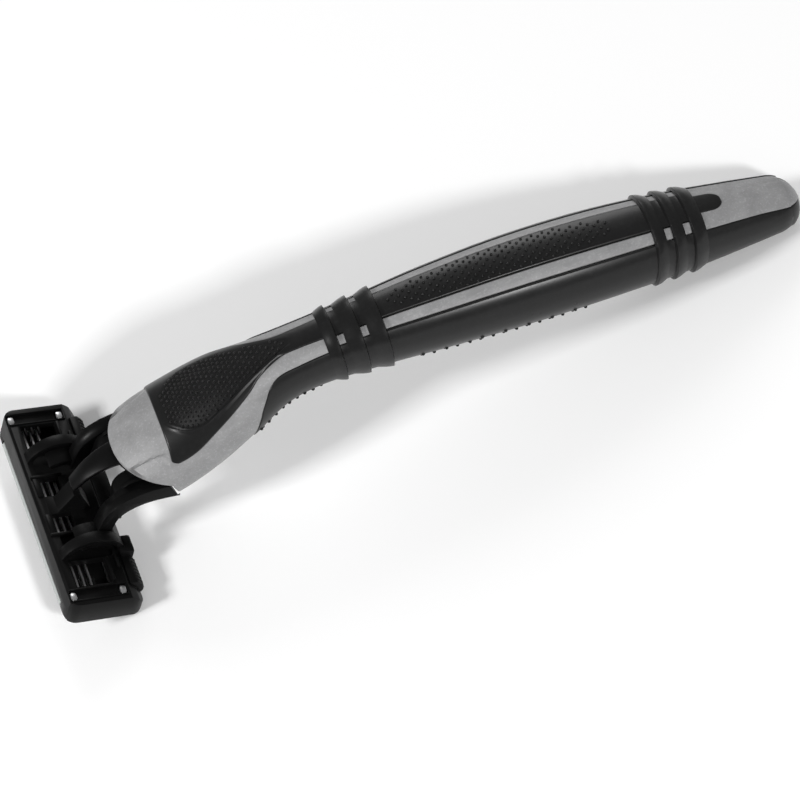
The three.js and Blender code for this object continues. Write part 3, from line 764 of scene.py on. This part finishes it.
def makeTongue():                       # the sprung tongue that pushes on the cam, wider at its root
    xs = [x for x, z in tongue["line"]]
    zs = [z for x, z in tongue["line"]]

    def place(u, v):
        across = 2 * v - 1
        arch = tongue["crown"] * (1 - across * across)
        x = lineAt(xs, u) - tongue["crownBack"] * arch
        return (x, across * lineAt(tongue["halfWidths"], u), lineAt(zs, u) + tongue["crownUp"] * arch)

    sheet = placedGrid(*tongue["grid"], place)
    modify(sheet, "SOLIDIFY", {"thickness": tongue["thickness"] * mm, "offset": 0})
    editMerged(sheet, outwards=True)
    modify(sheet, "BEVEL", {"width": tongue["bevel"] * mm, "segments": 2, "angle_limit": math.radians(50)})
    piece = together([sheet], "return_tongue", "black_plastic", "handle")
    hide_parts("return_leaf")


makeTongue()

comb = {"bars": ((-3.3, -2.55), (-2.02, -1.36), (-0.80, -0.14), (0.42, 3.2)), "low": -3.3, "high": -2.45,
        "halfLength": 20.2, "bevel": 0.08}


def makeComb():                         # the black bars under the plate, between the blade carriers
    half = comb["halfLength"]
    pieces = [block(x0, x1, -half, half, comb["low"], comb["high"], comb["bevel"]) for x0, x1 in comb["bars"]]
    together(pieces, "cavity_comb", "black_plastic", "cartridge")


makeComb()

details = {                             # each block is x, y and z from and to, and its bevel
    "blocks": ((3.05, 3.55, 12.3, 17.3, -1.1, 0.55, 0.12),      # rail by the window
               (4.6, 5.1, 11.5, 14.9, -0.6, 0.7, 0.24),         # rail on the guard side
               (5.8, 8.3, 8.95, 12.6, -2.4, 1.3, 0.5),          # snap block
               (-4.6, 0.9, 5.9, 6.4, -0.5, 0.35, 0.1),          # wall by the shoe's pocket
               (-4.4, -3.5, 1.9, 5.8, -0.5, 0.25, 0.1),         # lip of the inner window
               (-4.9, 5.1, 17.75, 17.95, -0.4, 0.22, 0.06),     # the two rims of the clip's slot
               (-4.9, 5.1, 20.0, 20.25, -0.4, 0.2, 0.06)),
    "shoulder": ((5.8, -0.6), (5.95, 0.04), (7.3, 0.04), (8.2, -0.8), (8.75, -2.4), (8.3, -3.3), (6.5, -2.6)),
    "shoulderY": (8.95, 18.2), "shoulderBevel": 0.3,
    "fingerX": (-2.6, -1.4, -0.2), "fingerY": (15.6, 17.3), "fingerZ": (-1.0, -0.25), "fingerWidth": 0.42,
    "fingerBevel": 0.15,
    "rib": ((7.2, -0.4), (7.5, 0.0), (8.35, -0.8), (8.95, -2.6), (8.3, -3.0)),
    "ribCount": 7, "ribStartY": 13.0, "ribPitch": 0.75, "ribHalf": 0.12, "ribBevel": 0.05,
    "tabX": (3.8, 4.9), "tabY": 19, "tabHalf": 0.64, "tabZ": (-0.5, -0.02), "tabBevel": 0.4,
}


def makeCartridgeDetails():
    pieces = []
    for side in (-1, 1):
        def span(a, b):
            return sorted((side * a, side * b))

        for x0, x1, y0, y1, z0, z1, bevel in details["blocks"]:
            pieces.append(block(x0, x1, *span(y0, y1), z0, z1, bevel))
        pieces.append(drawnOut(details["shoulder"], *span(*details["shoulderY"]), details["shoulderBevel"]))
        for x in details["fingerX"]:
            places = (x, x + details["fingerWidth"], *span(*details["fingerY"]), *details["fingerZ"])
            pieces.append(block(*places, details["fingerBevel"]))
        for step in range(details["ribCount"]):
            y = side * (details["ribStartY"] + details["ribPitch"] * step)
            half = details["ribHalf"]
            pieces.append(drawnOut(details["rib"], y - half, y + half, details["ribBevel"]))
    together(pieces, "cartridge_ribs", "black_plastic", "cartridge")
    tabs = []
    for side in (-1, 1):
        for way in (-1, 1):
            x0, x1 = sorted(way * value for value in details["tabX"])
            y = side * details["tabY"]
            half = details["tabHalf"]
            tabs.append(block(x0, x1, y - half, y + half, *details["tabZ"], details["tabBevel"]))
    together(tabs[:2], "near_clip_ends", "clip_aluminium", "cartridge")
    together(tabs[2:], "far_clip_ends", "clip_aluminium", "cartridge")


makeCartridgeDetails()
print("head made")

view = {"place": (-0.003142, -0.335652, 0.504953), "turns": (31.009, 12.991, -20.183), "lens": 159.26,
        "sensor": 36, "clipStart": 0.01}
camera = bpy.data.objects.new("camera", bpy.data.cameras.new("camera"))
bpy.context.collection.objects.link(camera)
camera.location = view["place"]
camera.rotation_euler = [math.radians(turn) for turn in view["turns"]]
camera.data.lens = view["lens"]
camera.data.sensor_width = view["sensor"]
camera.data.clip_start = view["clipStart"]
bpy.context.scene.camera = camera

studio = {"floorSize": 4, "floorTone": 0.93, "floorRoughness": 0.9, "skyStrength": 0.26}
clearSelection()
bpy.ops.mesh.primitive_plane_add(size=studio["floorSize"])
floor = bpy.context.object
floor.name = "floor"
floorFinish = bpy.data.materials.new("floor_paper")
floorFinish.use_nodes = True
floorShader = floorFinish.node_tree.nodes["Principled BSDF"]
floorShader.inputs["Base Color"].default_value = (*[studio["floorTone"]] * 3, 1)
floorShader.inputs["Roughness"].default_value = studio["floorRoughness"]
floor.data.materials.append(floorFinish)

lights = {
    "left": {"place": (-0.76, -0.06, 0.64), "size": 0.20, "power": 5.9},
    "front": {"place": (0.26, -0.76, 0.60), "size": 0.11, "power": 5.6},
    "back": {"place": (0.26, 0.86, 0.44), "size": 0.50, "power": 3.3},
}
for name, light in lights.items():
    lamp = bpy.data.objects.new(name, bpy.data.lights.new(name, "AREA"))
    lamp.data.energy = light["power"]
    lamp.data.size = light["size"]
    lamp.location = light["place"]
    lamp.rotation_euler = (-Vector(light["place"])).to_track_quat("-Z", "Y").to_euler()
    bpy.context.collection.objects.link(lamp)

world = bpy.data.worlds.new("studio")
world.use_nodes = True
sky = world.node_tree.nodes["Background"]
sky.inputs["Color"].default_value = (1, 1, 1, 1)
sky.inputs["Strength"].default_value = studio["skyStrength"]
bpy.context.scene.world = world
bpy.context.scene.view_settings.view_transform = "Standard"
print("studio made")
